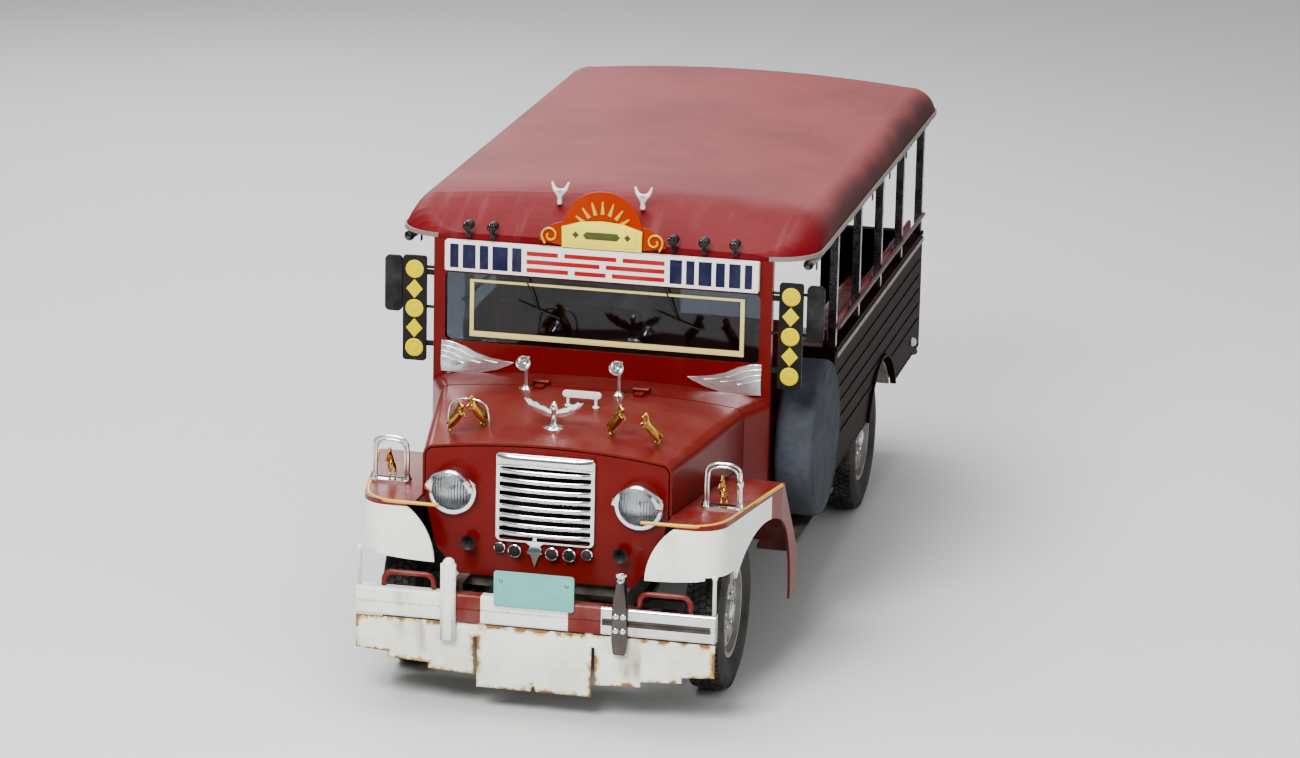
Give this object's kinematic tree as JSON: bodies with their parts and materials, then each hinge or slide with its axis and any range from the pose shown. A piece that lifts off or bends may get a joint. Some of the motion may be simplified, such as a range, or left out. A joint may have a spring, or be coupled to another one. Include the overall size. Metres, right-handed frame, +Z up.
{
  "type": "jeepney",
  "caption": "Long-bonnet, open-sided passenger vehicle with a slatted grille, flared fenders, side benches, roof, rear step, hinged hood, coupled steering and free-turning wheels.",
  "frame": {"origin": "middle of the bounding box at road level", "axes": "-Y points forward, +X to the vehicle's left (the driver's side), +Z up"},
  "size_m": [2.08, 5.1, 2.1219],
  "materials": {
    "red_paint": "gloss",
    "roof_paint": "weathered",
    "side_paint": "gloss",
    "frame_black": "satin",
    "white_paint": "gloss",
    "yellow_paint": "gloss",
    "rim_paint": "gloss",
    "chrome": "polished",
    "iron": "rough",
    "steel": "dull",
    "deck": "chequered",
    "glass": "clear",
    "vinyl": "satin",
    "canvas": "matte",
    "tyre": "matte",
    "board": "gloss",
    "lamp_red": "gloss",
    "black_plastic": "matte"
  },
  "bodies": {
    "body": {"chassis_frame": "frame_black", "front_axle": "frame_black", "rear_axle": "frame_black", "engine": "iron", "propeller_shaft": "frame_black", "exhaust": "steel", "fuel_tank": "frame_black", "radiator": "frame_black", "front_panel": "red_paint", "grille": "chrome", "headlamps": "chrome", "headlamp_lenses": "glass", "front_fenders": "red_paint", "fender_arches": "chrome", "front_bumper": "chrome", "bumper_guards": "chrome", "front_skirt": "white_paint", "cowl": "red_paint", "windshield_frame": "red_paint", "windshield_glass": "glass", "floor": "deck", "cab_panels": "side_paint", "body_sides": "side_paint", "seat_boxes": "white_paint", "bench_cushions": "vinyl", "cab_seats": "vinyl", "side_posts": "chrome", "side_trim": "chrome", "roof": "roof_paint", "roof_crest": "yellow_paint", "brow_lamps": "black_plastic", "sign_boards": "board", "mirrors": "chrome", "handrails": "chrome", "side_curtains": "canvas", "steps": "frame_black", "tail_lamps": "lamp_red", "steering_column": "frame_black", "cab_controls": "black_plastic", "spare_cover": "canvas", "spare_tyre": "tyre", "spare_rim": "rim_paint"},
    "hood": {"hood": "red_paint", "hood_ornaments": "chrome"},
    "knuckle_left": {"knuckle_left": "frame_black"},
    "knuckle_right": {"knuckle_right": "frame_black"},
    "tie_rod": {"tie_rod": "frame_black"},
    "steering_wheel": {"steering_wheel": "black_plastic"},
    "front_left_wheel": {"front_left_tyre": "tyre", "front_left_rim": "rim_paint"},
    "front_right_wheel": {"front_right_tyre": "tyre", "front_right_rim": "rim_paint"},
    "rear_left_wheel": {"rear_left_tyre": "tyre", "rear_left_rim": "rim_paint"},
    "rear_right_wheel": {"rear_right_tyre": "tyre", "rear_right_rim": "rim_paint"}
  },
  "joints": [
    {"name": "hood_hinge", "type": "hinge", "parent": "body", "child": "hood", "pos_m": [0, -1.49, 1.25], "axis": [-1, 0, 0], "range_deg": [0, 60]},
    {"name": "steer_left", "type": "hinge", "parent": "body", "child": "knuckle_left", "pos_m": [0.6, -1.89, 0.365], "axis": [0, 0, 1], "range_deg": [-30, 30]},
    {"name": "steer_right", "type": "hinge", "parent": "body", "child": "knuckle_right", "pos_m": [-0.6, -1.89, 0.365], "axis": [0, 0, 1], "range_deg": [-30, 30]},
    {"name": "tie_rod_shift", "type": "slide", "parent": "body", "child": "tie_rod", "axis": [1, 0, 0], "range_m": [-0.066, 0.066]},
    {"name": "steering_turn", "type": "hinge", "parent": "body", "child": "steering_wheel", "pos_m": [0.36, -0.93, 1.13], "axis": [0, 0.788, 0.6157], "range_deg": [-421, 421]},
    {"name": "front_left_spin", "type": "hinge", "parent": "knuckle_left", "child": "front_left_wheel", "pos_m": [0.7, -1.89, 0.365], "axis": [1, 0, 0], "continuous": true},
    {"name": "front_right_spin", "type": "hinge", "parent": "knuckle_right", "child": "front_right_wheel", "pos_m": [-0.7, -1.89, 0.365], "axis": [1, 0, 0], "continuous": true},
    {"name": "rear_left_spin", "type": "hinge", "parent": "body", "child": "rear_left_wheel", "pos_m": [0.76, 1.06, 0.365], "axis": [1, 0, 0], "continuous": true},
    {"name": "rear_right_spin", "type": "hinge", "parent": "body", "child": "rear_right_wheel", "pos_m": [-0.76, 1.06, 0.365], "axis": [1, 0, 0], "continuous": true}
  ],
  "couplings": [
    {"joint": "steer_right", "follows": "steer_left", "ratio": 1},
    {"joint": "tie_rod_shift", "follows": "steer_left", "m_per_rad": -0.124},
    {"joint": "steering_turn", "follows": "steer_left", "ratio": 14}
  ]
}
